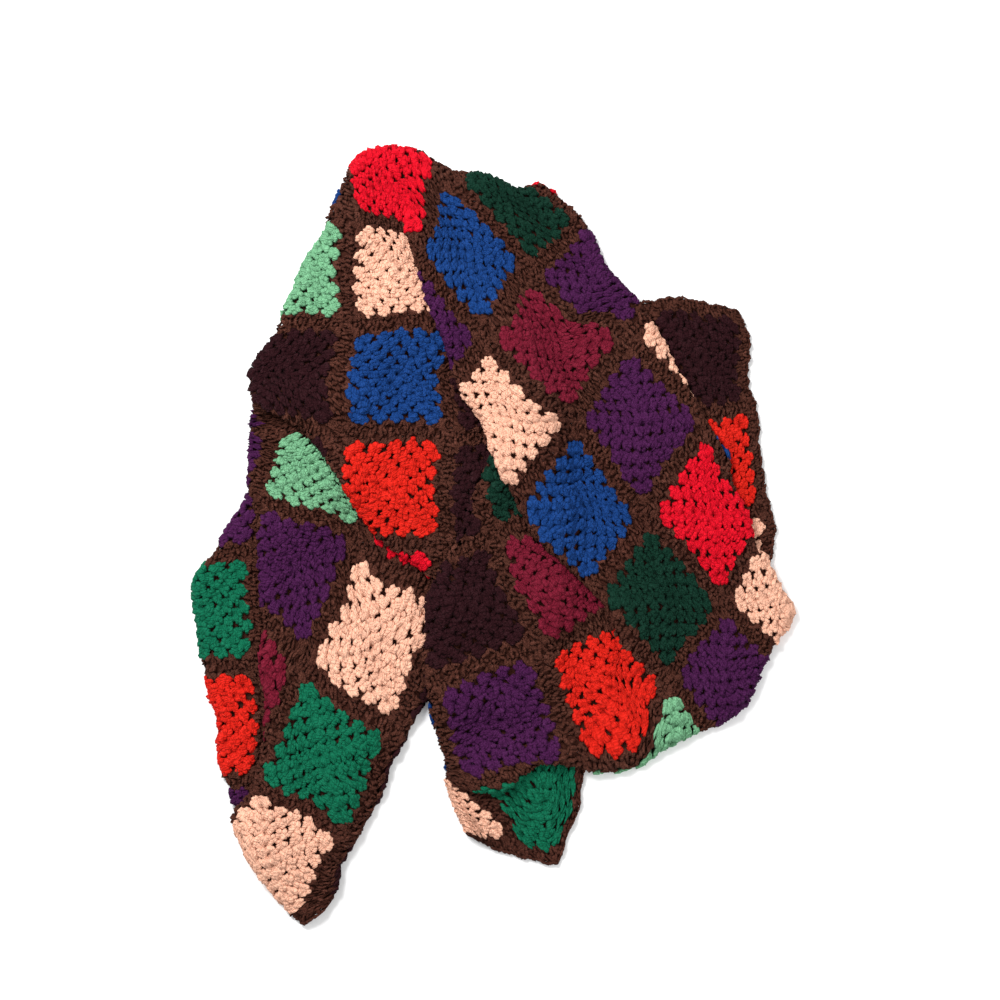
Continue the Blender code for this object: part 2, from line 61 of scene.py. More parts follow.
# corner, column and row in the flat cloth, x and y in the heap
CORNERS = (
    ("TL", -3.5, -2.5, -0.050, 0.000),
    ("TA", -1.6, -2.5, -0.168, 0.155),
    ("TB", 0.5, -2.5, -0.111, 0.217),
    ("TC", 2.6, -2.5, 0.002, 0.243),
    ("TD", 4.45, -2.5, 0.170, 0.270),
    ("TE", 5.25, -2.5, 0.258, 0.268),
    ("TR", 5.5, -2.5, 0.281, 0.258),
    ("RZ", 5.5, -2.25, 0.290, 0.235),
    ("RA", 5.5, -1.5, 0.297, 0.155),
    ("RB", 5.5, -0.3, 0.320, 0.007),
    ("RV", 5.5, 0.25, 0.319, -0.058),
    ("RC", 5.5, 0.9, 0.276, -0.149),
    ("RD", 5.5, 1.8, 0.192, -0.204),
    ("RE", 5.5, 2.35, 0.115, -0.242),
    ("RF", 5.5, 3.1, 0.077, -0.376),
    ("RG", 5.5, 3.8, -0.003, -0.358),
    ("RH", 5.5, 4.4, -0.029, -0.342),
    ("BR", 5.5, 7.5, 0.210, -0.100),
    ("BM", 3.3, 7.5, 0.190, 0.140),
    ("BN", 1.6, 7.5, -0.120, 0.030),
    ("BT", 0.62, 7.5, -0.187, -0.426),
    ("BS", 0.45, 7.5, -0.219, -0.446),
    ("BV", -1.6, 7.5, -0.210, -0.380),
    ("BC", -2.8, 7.5, -0.255, -0.367),
    ("BL", -3.5, 7.5, -0.232, -0.350),
    ("LD", -3.5, 6.6, -0.251, -0.282),
    ("LC", -3.5, 5.5, -0.262, -0.146),
    ("LB", -3.5, 4.7, -0.266, -0.049),
    ("LA", -3.5, 3.45, -0.168, 0.066),
    ("L2", -3.5, 2.4, -0.045, 0.045),
    ("L1", -3.5, 0.5, 0.055, 0.100),
    ("L0", -3.5, -0.74, 0.076, 0.155),
    ("T0", -0.45, -0.05, -0.162, 0.420),
    ("S1", -0.56, 0.2, -0.170, 0.404),
    ("S2", -0.8, 0.73, -0.202, 0.336),
    ("S3", -1.05, 1.18, -0.230, 0.280),
    ("S4", -1.18, 1.54, -0.253, 0.234),
    ("S5", -1.42, 1.96, -0.277, 0.189),
    ("S6", -1.45, 2.3, -0.276, 0.155),
    ("S7", -1.58, 2.85, -0.277, 0.141),
    ("S8", -1.7, 3.5, -0.278, 0.123),
    ("S9", -1.7, 4.05, -0.278, 0.096),
    ("M0", -1.62, 4.42, -0.279, 0.058),
    ("M1", -1.41, 4.96, -0.269, -0.004),
    ("M2", -1.25, 5.24, -0.266, -0.049),
    ("M3", -0.98, 5.66, -0.266, -0.117),
    ("M4", -0.67, 5.9, -0.262, -0.185),
    ("M5", -0.57, 6.12, -0.262, -0.223),
    ("M6", -0.46, 6.5, -0.269, -0.282),
    ("M7", -0.49, 6.9, -0.302, -0.318),
    ("M8", -0.07, 7.19, -0.270, -0.380),
    ("M9", 0.3, 7.34, -0.238, -0.424),
    ("T1", -0.28, -0.25, -0.149, 0.442),
    ("T2", 0.0, -0.33, -0.121, 0.448),
    ("T3", 0.22, -0.34, -0.094, 0.439),
    ("T4", 0.42, -0.42, -0.068, 0.419),
    ("T5", 0.65, -0.75, -0.015, 0.409),
    ("T6", 0.85, -1.25, 0.025, 0.397),
    ("T7", 1.0, -1.65, 0.062, 0.408),
    ("T8", 1.3, -1.55, 0.083, 0.387),
    ("T9", 1.97, -1.23, 0.133, 0.308),
    ("X0", 2.41, -0.83, 0.167, 0.272),
    ("X1", 3.38, -0.55, 0.235, 0.149),
    ("XB", 3.9, -0.65, 0.272, 0.094),
    ("X2", 4.46, -0.16, 0.299, -0.004),
    ("X3", 4.72, -0.15, 0.324, -0.024),
    ("X4", 5.1, 0.03, 0.345, -0.070),
    ("X5", 5.16, 0.12, 0.346, -0.095),
    ("X6", 5.12, 0.44, 0.321, -0.131),
    ("X7", 5.23, 0.87, 0.303, -0.174),
    ("X8", 5.19, 1.18, 0.280, -0.202),
    ("X9", 4.98, 1.61, 0.235, -0.225),
    ("Y0", 4.83, 1.86, 0.206, -0.239),
    ("Y1", 4.54, 1.98, 0.178, -0.260),
    ("Y2", 4.5, 2.3, 0.125, -0.270),
    ("Y3", 4.5, 2.45, 0.108, -0.270),
    ("Y4", 4.44, 2.71, 0.062, -0.256),
    ("Y5", 4.62, 3.18, 0.014, -0.295),
    ("Y6", 4.66, 3.62, -0.046, -0.282),
    ("N1", 0.64, 5.15, -0.078, -0.188),
    ("K1", 0.62, 5.8, -0.117, -0.270),
    ("K2", 0.57, 6.37, -0.151, -0.338),
    ("K3", 0.6, 6.85, -0.177, -0.387),
    ("QQ", 1.42, 1.95, 0.048, 0.172),
    ("G1", 2.01, 2.45, -0.015, 0.064),
    ("G2", 2.43, 2.86, -0.043, -0.004),
    ("G3", 2.84, 3.31, -0.078, -0.072),
    ("G4", 3.25, 3.46, -0.079, -0.134),
    ("N2", 3.67, 3.56, -0.075, -0.194),
    ("G5", 4.23, 3.52, -0.052, -0.259),
    ("V1", 1.45, 2.7, 0.062, 0.089),
    ("V2", 1.54, 3.15, 0.068, 0.032),
    ("V3", 1.57, 3.86, 0.071, -0.058),
    ("V4", 2.15, 4.4, 0.059, -0.172),
    ("P0", 0.25, 0.42, -0.102, 0.353),
    ("D1", 1.44, 1.02, -0.043, 0.187),
    ("D2", 2.2, 1.35, 0.006, 0.084),
    ("D3", 2.5, 1.45, 0.023, 0.039),
    ("D4", 2.75, 1.47, 0.044, 0.005),
    ("D5", 3.64, 1.45, 0.127, -0.078),
    ("P1", 3.95, 1.62, 0.150, -0.129),
    ("W1", 0.98, 1.5, 0.017, 0.247),
    ("W2", 2.58, 1.8, 0.074, 0.013),
    ("W3", 3.5, 1.56, 0.144, -0.086),
    ("KL", -1.38, 2.4, -0.261, 0.153),
    ("B2", -0.67, 2.63, -0.198, 0.100),
    ("B3", -0.1, 3.45, -0.134, -0.004),
    ("B4", 0.43, 3.78, -0.071, -0.045),
    ("PB", 0.62, 4.3, -0.052, -0.086),
    ("C1", -0.9, 3.2, -0.149, 0.153),
    ("C2", -0.22, 4.05, -0.102, 0.038),
    ("C3", 0.37, 4.36, -0.054, -0.039),
    ("K5", -2.35, 3.45, -0.248, 0.109),
    ("E1", -2.6, 3.9, -0.279, 0.053),
    ("E2", -2.85, 4.4, -0.315, -0.010),
    ("E3", -3.05, 4.7, -0.344, -0.049),
    ("E4", -3.07, 4.95, -0.347, -0.074),
    ("E5", -3.0, 5.5, -0.332, -0.151),
    ("E6", -2.9, 6.1, -0.315, -0.231),
    ("E7", -2.8, 6.6, -0.303, -0.297),
    ("A1v", -1.95, 4.6, -0.205, -0.027),
    ("A2v", -1.85, 5.0, -0.191, -0.072),
    ("A3v", -1.6, 5.8, -0.153, -0.191),
    ("A4v", -1.54, 6.1, -0.151, -0.236),
    ("A5v", -1.5, 6.6, -0.174, -0.293),
    ("H1", 3.43, -1.7, 0.051, 0.153),
    ("H2", 4.12, -1.05, 0.147, 0.077),
    ("H3", 4.85, -0.22, 0.248, -0.018),
    ("J1", 4.78, 3.18, 0.011, -0.273),
    ("J2", 4.65, 2.75, 0.057, -0.231),
    ("a00", 0, 0, -0.121, 0.409),
    ("a01", 0, 1, -0.105, 0.302),
    ("am2", -1, 2, -0.238, 0.190),
    ("a02", 0, 2, -0.108, 0.183),
    ("a03", 0, 3, -0.119, 0.053),
    ("a13", 1, 3, 0.008, 0.050),
    ("b10", 1, 0, -0.035, 0.327),
    ("b21", 2, -1, 0.121, 0.282),
    ("b20", 2, 0, 0.068, 0.211),
    ("b30", 3, 0, 0.167, 0.130),
    ("b40", 4, 0, 0.248, 0.024),
    ("b50", 5, 0, 0.328, -0.070),
    ("b2", 2, 1, 0.008, 0.134),
    ("b31", 3, 1, 0.099, 0.030),
    ("b41", 4, 1, 0.195, -0.072),
    ("b51", 5, 1, 0.274, -0.165),
    ("f32", 3, 2, 0.074, -0.044),
    ("f33", 3, 3, -0.032, -0.081),
    ("f42", 4, 2, 0.138, -0.174),
    ("f43", 4, 3, 0.005, -0.210),
    ("am4", -1, 4, -0.200, 0.074),
    ("am5", -1, 5, -0.228, -0.030),
    ("a05", 0, 5, -0.139, -0.126),
    ("a06", 0, 6, -0.194, -0.253),
    ("a07", 0, 7, -0.256, -0.363),
    ("e3", 5, 3, 0.062, -0.312),
    ("d2", 5, -2, 0.244, 0.209),
    ("d1", 5, -1, 0.260, 0.080),
    ("c5", -2, 5, -0.212, -0.079),
    ("c6", -2, 6, -0.201, -0.213),
    ("EM", 5.0, 4.12, -0.041, -0.308),
)

# creases and edges of the cloth, each a run of corners
CREASES = (
    "TL TA TB TC TD TE TR RZ RA RB RV RC RD RE RF RG RH BR BM BN BT BS BV BC BL LD LC LB LA L2 L1 L0 TL",
    "T0 S1 S2 S3 S4 S5 S6 S7 S8 S9 M0 M1 M2 M3 M4 M5 M6 M7 M8 M9 BS",
    "T0 T1 T2 T3 T4 T5 T6 T7 T8 T9 X0 X1 XB X2 X3 X4 X5 X6 X7 X8 X9 Y0 Y1 Y2 Y3 Y4 Y5 Y6",
    "N1 K1 K2 K3 BT",
    "N1 V4",
    "QQ G1 G2 G3 G4 N2 G5 Y6 EM RH",
    "QQ V1 V2 V3 V4",
    "P0 D1 D2 D3 D4 D5 P1",
    "P0 W1 QQ W2 W3 P1",
    "KL B2 B3 B4 PB",
    "KL C1 C2 C3 PB",
    "K5 E1 E2 E3 E4 E5 E6 E7 BC",
    "K5 A1v A2v A3v A4v A5v BV",
    "TC H1 H2 H3 RV",
    "Y6 J1 J2 RE",
    "T0 L0",
    "T0 TA",
)

# lines where two panels join without a crease but lie at different heights
SEAMS = ("PB V3", "P0 T4", "P1 Y0", "V4 N2", "KL S7", "K5 LA")

# lines that stay straight inside a panel
TIES = ("N1 BN", "N1 BM", "V4 BM", "V4 BR", "N2 BR", "G5 BR")

# panel, place in the pile from the bottom, a column and row inside it
PANELS = (
    ("turned under by the foot", -1, 3.0, 6.0),
    ("left flap turned under", 0, -3.3, 5.5),
    ("left flap", 1, -2.3, 5.5),
    ("far corner", 0, 4.8, -1.8),
    ("foot", 0, 5.1, 3.4),
    ("turned under at the top", 1, 1.0, -2.2),
    ("corner tuck", 2, -3.0, -2.0),
    ("turned under at the left", 3, -2.5, 1.0),
    ("leg", 4, 0.1, 5.0),
    ("tuck above the leg", 5, -0.78, 2.9),
    ("upper left", 6, -0.4, 1.5),
    ("tuck below the front", 7, 1.9, 2.9),
    ("front", 8, 4.0, 2.5),
    ("tuck below the right", 9, 1.3, 1.2),
    ("right", 10, 3.0, 0.3),
)

# soft valleys in the upper layers: start and end in the heap, depth, half width, pull
VALLEYS = (
    ("beside the far bulge", 0.207, -0.062, 0.229, -0.220, 0.026, 0.020, 0.35),
    ("between the front squares", 0.086, -0.120, 0.110, -0.236, 0.022, 0.018, 0.25),
    ("across the front", 0.010, -0.168, 0.085, -0.190, 0.011, 0.015, 0.20),
    ("across the top square", 0.066, 0.233, 0.095, 0.170, 0.009, 0.013, 0.15),
    ("down the leg", -0.245, -0.185, -0.205, -0.300, 0.006, 0.014, 0.20),
    ("under the shoulder", -0.225, 0.110, -0.110, 0.150, 0.005, 0.020, 0.15),
    ("right of the top", 0.010, 0.300, 0.070, 0.180, 0.005, 0.022, 0.15),
)


def triangles_of_cloth():
    """Split the flat cloth into triangles that no crease crosses.

    The crease corners are joined by a constrained Delaunay triangulation.
    Returns the corners' flat and heap places, the triangles, and the pairs of
    corners that a crease or a seam joins.
    """
    names = [row[0] for row in CORNERS]
    flat = [Vector(row[1:3]) for row in CORNERS]
    runs = [[names.index(name) for name in line.split()] for line in CREASES + SEAMS + TIES]
    edges = [pair for run in runs for pair in zip(run[:-1], run[1:])]
    found = delaunay_2d_cdt(flat, edges, [], 0, 1e-5)
    corners, faces, source = found[0], found[2], found[3]
    order = [item[0] for item in source if item]
    heap = np.array([CORNERS[item][3:5] for item in order])
    place = {item: count for count, item in enumerate(order)}
    edges = edges[:-len(TIES)]
    barrier = {frozenset((place[a], place[b])) for a, b in edges}
    return np.array([tuple(v) for v in corners]), heap, [tuple(f) for f in faces], barrier


def inside(flat, face, column, row):
    """Weights of a face's three corners at a place, by areas."""
    (ax, ay), (bx, by), (cx, cy) = flat[list(face)]
    area = (bx - ax) * (cy - ay) - (by - ay) * (cx - ax)
    v = ((column - ax) * (cy - ay) - (row - ay) * (cx - ax)) / area
    w = ((bx - ax) * (row - ay) - (by - ay) * (column - ax)) / area
    return 1.0 - v - w, v, w


def panel_levels(flat, faces, barrier):
    """Give each triangle the pile place of its panel, spreading from the seeds."""
    beside = {}
    for count, face in enumerate(faces):
        for a, b in ((0, 1), (1, 2), (2, 0)):
            beside.setdefault(frozenset((face[a], face[b])), []).append(count)
    level = [None] * len(faces)
    for name, place, column, row in PANELS:
        start = [n for n, f in enumerate(faces) if min(inside(flat, f, column, row)) >= 0.0]
        waiting = start[:1]
        while waiting:
            here = waiting.pop()
            if level[here] is not None:
                continue
            level[here] = place
            face = faces[here]
            for a, b in ((0, 1), (1, 2), (2, 0)):
                side = frozenset((face[a], face[b]))
                if side not in barrier:
                    waiting += beside[side]
    return level


def blur(field, radius):
    """Gaussian blur of a grid; its ends are carried on straight."""
    reach = int(3 * radius) + 1
    steps = np.arange(-reach, reach + 1)
    weights = np.exp(-0.5 * (steps / radius) ** 2)
    weights /= weights.sum()
    for axis in (0, 1):
        moved = np.moveaxis(field, axis, 0)
        low = 2 * moved[:1] - moved[reach:0:-1]
        high = 2 * moved[-1:] - moved[-2:-reach - 2:-1]
        long = np.concatenate((low, moved, high))
        size = moved.shape[0]
        moved = sum(w * long[n:n + size] for n, w in enumerate(weights))
        field = np.moveaxis(moved, 0, axis)
    return field


def props(x, y, level, origin, shape):
    """For each pile place, a map of how much its panels hold up what lies over them.

    One where the panel is and close around it, falling softly to nothing.
    """
    column = ((x - origin[0]) / CELL).astype(int)
    row = ((y - origin[1]) / CELL).astype(int)
    maps = {}
    for place in sorted(set(level.ravel())):
        held = np.zeros(shape)
        chosen = level == place
        held[column[chosen], row[chosen]] = 1.0
        for _ in range(SPREAD):
            wide = held.copy()
            wide[1:] = np.maximum(wide[1:], held[:-1])
            wide[:-1] = np.maximum(wide[:-1], held[1:])
            wide[:, 1:] = np.maximum(wide[:, 1:], held[:, :-1])
            wide[:, :-1] = np.maximum(wide[:, :-1], held[:, 1:])
            held = wide
        maps[place] = np.clip(blur(held, SPREAD * SOFTNESS), 0.0, 1.0)
    return maps


def settled_sheet():
    """Middle surface of the folded cloth on the fine grid of samples.

    Flat place to heap place by the triangles, height by adding up the layers
    below, then all three rounded together at the folds.
    """
    flat, heap, faces, barrier = triangles_of_cloth()
    levels = panel_levels(flat, faces, barrier)
    columns = np.linspace(FIRST_COLUMN, LAST_COLUMN, int((LAST_COLUMN - FIRST_COLUMN) * FINE) + 1)
    rows = np.linspace(FIRST_ROW, LAST_ROW, int((LAST_ROW - FIRST_ROW) * FINE) + 1)
    column, row = np.meshgrid(columns, rows, indexing="ij")
    x, y = np.zeros_like(column), np.zeros_like(column)
    level = np.zeros(column.shape, int)
    for face, place in zip(faces, levels):
        u, v, w = inside(flat, face, column, row)
        held = (u > -1e-9) & (v > -1e-9) & (w > -1e-9)
        (ax, ay), (bx, by), (cx, cy) = heap[list(face)]
        x[held] = (u * ax + v * bx + w * cx)[held]
        y[held] = (u * ay + v * by + w * cy)[held]
        level[held] = place
    margin = MARGIN * CELL
    origin = (x.min() - margin, y.min() - margin)
    shape = (int((x.max() - origin[0] + margin) / CELL),
             int((y.max() - origin[1] + margin) / CELL))
    maps = props(x, y, level, origin, shape)
    z = np.zeros_like(x)
    for place, held in maps.items():
        above = level > place
        z[above] += LAYER * lookup(held, x[above], y[above], origin)
    x, y, z = blur(x, FOLD_ROUND), blur(y, FOLD_ROUND), blur(z, FOLD_ROUND)
    return x - HEAP_MIDDLE[0], y - HEAP_MIDDLE[1], np.maximum(z, 0.0)


def lookup(field, x, y, origin):
    """Read a map at places between its cells, bilinear."""
    u, v = (x - origin[0]) / CELL - 0.5, (y - origin[1]) / CELL - 0.5
    i, j = np.floor(u).astype(int), np.floor(v).astype(int)
    s, t = u - i, v - j
    near = field[i, j] * (1 - t) + field[i, j + 1] * t
    far = field[i + 1, j] * (1 - t) + field[i + 1, j + 1] * t
    return near * (1 - s) + far * s


def upward(middle):
    """Unit normals of a grid of points, from its slopes both ways."""
    normal = np.cross(np.gradient(middle, axis=1), np.gradient(middle, axis=0))
    return normal / np.maximum(np.linalg.norm(normal, axis=2, keepdims=True), 1e-9)


def closed_sheet(name, middle, normal, thickness):
    """A closed solid: the middle surface moved half the thickness to each side."""
    face_side = (middle + normal * thickness / 2).reshape(-1, 3)
    back_side = (middle - normal * thickness / 2).reshape(-1, 3)
    wide, long = middle.shape[:2]
    index = np.arange(wide * long).reshape(wide, long)
    a, b, c, d = index[:-1, :-1], index[1:, :-1], index[1:, 1:], index[:-1, 1:]
    top = np.stack((a, d, c, b), axis=-1).reshape(-1, 4)
    bottom = top[:, ::-1] + wide * long
    rim = np.concatenate((index[:, 0], index[-1, 1:], index[-2::-1, -1], index[0, -2:0:-1]))
    after = np.roll(rim, -1)
    wall = np.stack((rim, after, after + wide * long, rim + wide * long), axis=-1)
    mesh = bpy.data.meshes.new(name)
    faces = np.concatenate((top, bottom, wall))
    mesh.from_pydata(np.concatenate((face_side, back_side)).tolist(), [], faces.tolist())
    mesh.update()
    return bpy.data.objects.new(name, mesh)


PLY_TWIST = 2.3        # turn of the ply in each millimetre of a strand, in radians
PLY_TURN = 12.566      # the ply's phase in one turn round a strand: two plies
FIBRE_GRAIN = 900.0    # fineness of the fibres
PATCH_GRAIN = 160.0    # fineness of the patches of lighter and darker wool
BUMP_DEPTH = 0.0012    # depth of ply and fibres
# places on the wool's shades; the lightness there is painted shade and light by height over the cloth,
# with the wool's random patches
DEEP = 0.12            # lightness at which the wool is darkest, and
BASE = 0.6             # that at which it has its own colour, and
PROUD = 0.95           # that at which it is lightest
DYE = 0.76             # strength of all the yarns' colours


def wool(name, colour, light, dark):
    """Matt plied wool.

    The colour wanders between a dark and a light shade of the yarn: darker deep
    between the stitches and lighter towards their tops, which is painted shade and
    painted light (the yarn attribute's third number), a little lighter or darker
    from stitch to stitch and fibre to fibre, and painted shade in the grooves of
    the ply.  The bump is the yarn's ply, a sine of length and turn round the
    strand, with fine fibres over it.
    """
    material = bpy.data.materials.new(name)
    material.use_nodes = True
    nodes, links = material.node_tree.nodes, material.node_tree.links
    shader = nodes["Principled BSDF"]
    shader.inputs["Roughness"].default_value = 0.92
    shader.inputs["Specular IOR Level"].default_value = 0.12
    shader.inputs["Sheen Weight"].default_value = 0.10
    shader.inputs["Sheen Roughness"].default_value = 0.6
    shader.inputs["Sheen Tint"].default_value = (*light, 1.0)
    place = nodes.new("ShaderNodeTexCoord")
    yarn = nodes.new("ShaderNodeAttribute")
    yarn.attribute_name = "yarn"
    parts = nodes.new("ShaderNodeSeparateXYZ")
    links.new(yarn.outputs["Vector"], parts.inputs[0])
    fibres = nodes.new("ShaderNodeTexNoise")
    fibres.inputs["Scale"].default_value = FIBRE_GRAIN
    fibres.inputs["Detail"].default_value = 3.0
    links.new(place.outputs["Object"], fibres.inputs["Vector"])
    patches = nodes.new("ShaderNodeTexNoise")
    patches.inputs["Scale"].default_value = PATCH_GRAIN
    patches.inputs["Detail"].default_value = 2.0
    links.new(place.outputs["Object"], patches.inputs["Vector"])

    def maths(kind, first, second):
        """One sum on two values, each a number or another node's output."""
        step = nodes.new("ShaderNodeMath")
        step.operation = kind
        for count, value in enumerate((first, second)):
            if isinstance(value, float):
                step.inputs[count].default_value = value
            else:
                links.new(value, step.inputs[count])
        return step.outputs[0]

    mottle = maths("ADD", maths("MULTIPLY", fibres.outputs["Fac"], 0.55),
                   maths("MULTIPLY", patches.outputs["Fac"], 0.45))
    ply = maths("SINE", maths("ADD", maths("MULTIPLY", parts.outputs["X"], PLY_TWIST),
                              maths("MULTIPLY", parts.outputs["Y"], PLY_TURN)), 0.0)
    unevenness = maths("MULTIPLY", maths("SUBTRACT", mottle, 0.5), 1.4)
    # the yarn attribute's third number: painted shade low between the stitches, lighter with height,
    # plus a random shade per strand; the unevenness is the wool's random patches
    lightness = maths("ADD", parts.outputs["Z"], unevenness)
    # the ply's phase darkens its grooves and lightens its ridges: painted shade and painted light of the
    # twist
    lightness = maths("ADD", lightness, maths("MULTIPLY", ply, 0.11))
    # dark end: painted shade and darker wool; light end: painted light on stitch tops and lighter wool
    shades = nodes.new("ShaderNodeValToRGB")
    shades.color_ramp.elements[0].color = (*dark, 1.0)
    shades.color_ramp.elements[0].position = DEEP
    shades.color_ramp.elements[1].color = (*light, 1.0)
    shades.color_ramp.elements[1].position = PROUD
    middle_shade = shades.color_ramp.elements.new(BASE)
    middle_shade.color = (*colour, 1.0)
    links.new(lightness, shades.inputs["Fac"])
    links.new(shades.outputs["Color"], shader.inputs["Base Color"])
    relief = maths("ADD", maths("MULTIPLY", ply, 0.35),
                   maths("MULTIPLY", fibres.outputs["Fac"], 1.3))
    bump = nodes.new("ShaderNodeBump")
    bump.inputs["Strength"].default_value = 0.9
    bump.inputs["Distance"].default_value = BUMP_DEPTH
    links.new(relief, bump.inputs["Height"])
    links.new(bump.outputs["Normal"], shader.inputs["Normal"])
    return material


def linear(red, green, blue):
    """Linear light from a colour on the usual 0 to 255 scale, by the sRGB curve."""
    value = np.array((red, green, blue)) / 255.0
    return np.where(value <= 0.04045, value / 12.92, ((value + 0.055) / 1.055) ** 2.4)


def yarn_wool(name, red, green, blue, lift=1.35, drop=0.55):
    """The wool of one yarn: its colour, that colour lifted, and dropped deeper and fuller.

    The lifted colour is painted light on the stitches' tops and the lighter wool; the
    dropped one is painted shade deep between the stitches and the darker wool.
    """
    colour = DYE * linear(red, green, blue)
    light = np.minimum(colour * lift + 0.006, 1.0)
    return wool(name, tuple(colour), tuple(light), tuple(colour ** 1.2 * drop))


def softened(x, y, z):
    """The heap with its valleys, swells and wandering lines.

    A valley lowers what lies within its half width of its line by depth times a
    Gaussian, and pulls it towards the line; swells and drift are sums of two
    sines of the place in the heap.  Valleys and swells fade out towards the floor.
    """
    rise = z / z.max()
    for name, x1, y1, x2, y2, depth, half, pull in VALLEYS:
        run = np.hypot(x2 - x1, y2 - y1)
        ahead = ((x - x1) * (x2 - x1) + (y - y1) * (y2 - y1)) / run
        off = ((x - x1) * (y2 - y1) - (y - y1) * (x2 - x1)) / run
        past = np.maximum(np.abs(ahead - run / 2) - run / 2, 0.0)
        near = np.exp(-(off / half) ** 2 - (past / half) ** 2) * np.clip(1.6 * rise, 0, 1)
        z = z - depth * near
        x = x - pull * off * near * (y2 - y1) / run
        y = y + pull * off * near * (x2 - x1) / run
    swell = np.sin(31 * x + 17 * y + 0.4) + 0.7 * np.sin(-23 * x + 41 * y + 1.9)
    z = z + SWELL * rise * swell
    x = x + DRIFT * (np.sin(57 * y + 0.7) + 0.6 * np.sin(93 * y + 37 * x + 2.2))
    y = y + DRIFT * (np.sin(61 * x + 1.1) + 0.6 * np.sin(87 * x - 41 * y + 0.3))
    return x, y, np.maximum(z, 0.0)


GROUND_PAINTED_SHADE = 0.25    # painted shade: lightness of the ground, deep behind the stitches

x, y, z = softened(*settled_sheet())
middle = np.stack((x, y, z + MIDDLE_HEIGHT), axis=-1)
normals = upward(middle)
some = (slice(None, None, 2), slice(None, None, 2))   # every other fine sample
cloth = closed_sheet("cloth", middle[some], normals[some], CLOTH)
bpy.context.collection.objects.link(cloth)
# the ground's painted shade, held in the yarn attribute's third number
ground = cloth.data.attributes.new("yarn", "FLOAT_VECTOR", "POINT")
ground.data.foreach_set("vector", np.tile((0.0, 0.0, GROUND_PAINTED_SHADE), len(cloth.data.vertices)))
cloth.data.polygons.foreach_set("use_smooth", np.ones(len(cloth.data.polygons), bool))
brown_wool = yarn_wool("brown_wool", 84, 46, 35, 1.8, 0.85)
cloth.data.materials.append(brown_wool)
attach(cloth, "root")
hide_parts("blanket")

# ---------------------------------------------------------------- the coloured rounds
# Each square is worked in one colour from its middle outward, in five rounds of
# clusters.  A cluster is three tall stitches worked into one gap of the round before,
# so it opens like a fan; round n has n clusters on each of its four sides.
ROUNDS = 5
ROUND = 0.0104         # width of one round
STRAND = 0.0031        # half the thickness of a strand
STRAND_END = 0.55      # its thickness at both ends, as a share
STITCH_HEIGHT = 0.0065 # height over the cloth's middle where a strand's painted shade ends and it is lightest
DEEP_PAINTED_SHADE, PAINTED_SHADE_BY_HEIGHT = 0.12, 0.55   # painted shade: lightness at the ground, and what height adds
CLUSTER_LEAN = 1.15    # how far corner clusters lean back from the corner, in rounds
FOOT_INSET = 0.97      # corner clusters' feet along the round before, as a share of it
BORDER = 0.03          # how far the outer squares sit inward, in squares
STRETCH = 2.3          # a stitch drawn out further than this is hidden in a fold
BULGE = 0.0014         # a square's middle stands this much prouder than its sides
SIGHT = 0.004          # a stitch counts as in sight this little below the top layer

# yarn, red, green and blue, and the squares worked in it as column,row
YARNS = (
    ("bright_red", 224, 4, 34, "0,0 0,4 1,-2 4,0 -2,5 -3,-1 2,6 5,7 -2,0 3,5"),
    ("orange", 221, 32, 17, "0,3 4,2 5,-1 -3,6 -1,-1 2,4 -3,2"),
    ("peach", 254, 193, 164, "0,1 3,-1 5,0 2,1 5,4 0,5 0,7 -2,-2 -2,2 3,6 2,-2 -3,0"),
    ("blue", 17, 62, 127, "-1,0 0,2 1,0 4,-1 3,1 -2,6 4,6 -3,-2 3,-2 4,4"),
    ("mint", 120, 180, 136, "-1,1 -1,4 5,2 0,-1 -3,1 3,4 4,7 -2,7"),
    ("emerald", 4, 106, 75, "1,4 5,3 -3,5 0,6 4,-2 2,5 -2,1 -1,-2"),
    ("forest", 8, 51, 37, "1,-1 4,1 2,2 3,7 5,5 -3,3 -1,7"),
    ("purple", 74, 23, 73, "1,1 2,-1 3,0 5,1 4,3 -2,4 -1,5 -3,4 0,-2 5,6 -3,7 -2,3"),
    ("magenta", 118, 19, 43, "2,0 3,2 -1,6 4,5 -2,-1 2,7"),
    ("plum", 45, 11, 18, "-1,2 1,3 3,3 5,-2 2,3 -1,3 1,2 1,5 1,6 1,7"),
)


def on_cloth(points):
    """Carry points of the flat cloth to the heap.

    A point is x along the columns, y against the rows and height over the cloth's
    middle; the middle and its normal are read from the fine grid, bilinear, and the
    height is laid off along the normal.  Nothing goes below the floor gap.
    """
    u = (points[..., 0] / PITCH - FIRST_COLUMN) * FINE
    v = (-points[..., 1] / PITCH - FIRST_ROW) * FINE
    i = np.clip(u.astype(int), 0, middle.shape[0] - 2)
    j = np.clip(v.astype(int), 0, middle.shape[1] - 2)
    s, t = (u - i)[..., None], (v - j)[..., None]
    placed, facing = [
        (grid[i, j] * (1 - s) + grid[i + 1, j] * s) * (1 - t)
        + (grid[i, j + 1] * (1 - s) + grid[i + 1, j + 1] * s) * t
        for grid in (middle, normals)]
    bulge = (BULGE * np.cos(np.pi * points[..., :1] / PITCH)
             * np.cos(np.pi * points[..., 1:2] / PITCH))
    placed = placed + facing * (points[..., 2:3] + np.abs(bulge))
    placed[..., 2] = np.maximum(placed[..., 2], FLOOR_GAP)
    return placed


